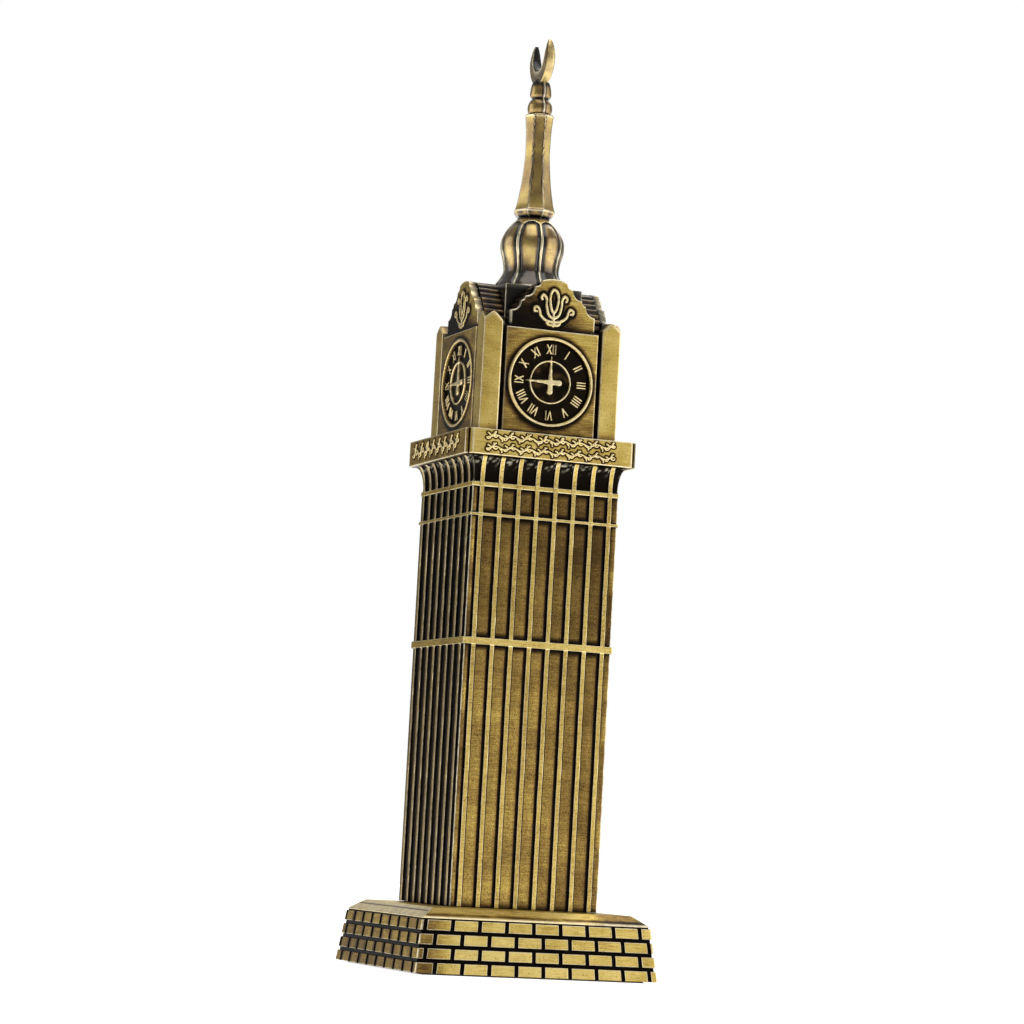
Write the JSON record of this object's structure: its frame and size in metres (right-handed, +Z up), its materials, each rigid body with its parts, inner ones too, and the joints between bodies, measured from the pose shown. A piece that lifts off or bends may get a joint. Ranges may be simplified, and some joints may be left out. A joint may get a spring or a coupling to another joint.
{
  "type": "miniature landmark model",
  "caption": "Clock-tower souvenir: ribbed square shaft on a brick-coursed plinth, clock head with gabled roof, lobed dome, slim spire and open crescent.",
  "frame": {"origin": "centre of the pad's underside, on the surface that the object stands on", "axes": "+Z up along the tower's axis to the crescent; -Y is the front; the crescent's horns lie along Y"},
  "size_m": [0.0478, 0.0478, 0.18],
  "materials": {
    "plinth_bronze": "antique bronze plating on cast bricks, black patina in the joints, brushed bright on the brick faces",
    "shaft_bronze": "antique bronze plating, brown patina on the panels, ribs and bands brushed bright, fine horizontal brush marks",
    "dial_bronze": "antique bronze plating, horizontally brushed plate, near-black patina in the sunk dial",
    "bright_bronze": "antique bronze plating rubbed to a light gold, lightly pitted, dark in the grooves",
    "dark_bronze": "antique plating left dark, grey-brown lights on the raised edges",
    "dome_bronze": "polished antique bronze lobes with black patina beside each rib",
    "raw_casting": "unplated matt die casting",
    "zinc_steel": "bright zinc plate",
    "pad_foam": "black closed-cell foam sheet with a fine cell grain"
  },
  "bodies": {
    "root": {"base_pad": "pad_foam", "plinth_shell": "plinth_bronze", "foot_plate": "raw_casting", "shaft_panel_front": "shaft_bronze", "shaft_panel_right": "shaft_bronze", "shaft_panel_back": "shaft_bronze", "shaft_panel_left": "shaft_bronze", "collar_bar_front": "bright_bronze", "collar_bar_right": "bright_bronze", "collar_bar_back": "bright_bronze", "collar_bar_left": "bright_bronze", "collar_deck": "dark_bronze", "head_core": "dark_bronze", "dial_plate_front": "dial_bronze", "dial_plate_right": "dial_bronze", "dial_plate_back": "dial_bronze", "dial_plate_left": "dial_bronze", "corner_post_front": "bright_bronze", "corner_post_right": "bright_bronze", "corner_post_back": "bright_bronze", "corner_post_left": "bright_bronze", "gable_front": "dial_bronze", "gable_right": "dial_bronze", "gable_back": "dial_bronze", "gable_left": "dial_bronze", "dormer_roof_front": "dark_bronze", "dormer_roof_right": "dark_bronze", "dormer_roof_back": "dark_bronze", "dormer_roof_left": "dark_bronze", "roof_block": "dark_bronze", "dome": "dome_bronze", "spire_shaft": "bright_bronze", "crescent_finial": "bright_bronze", "tie_rod": "zinc_steel", "rod_washer": "zinc_steel", "rod_nut": "zinc_steel"}
  },
  "joints": []
}
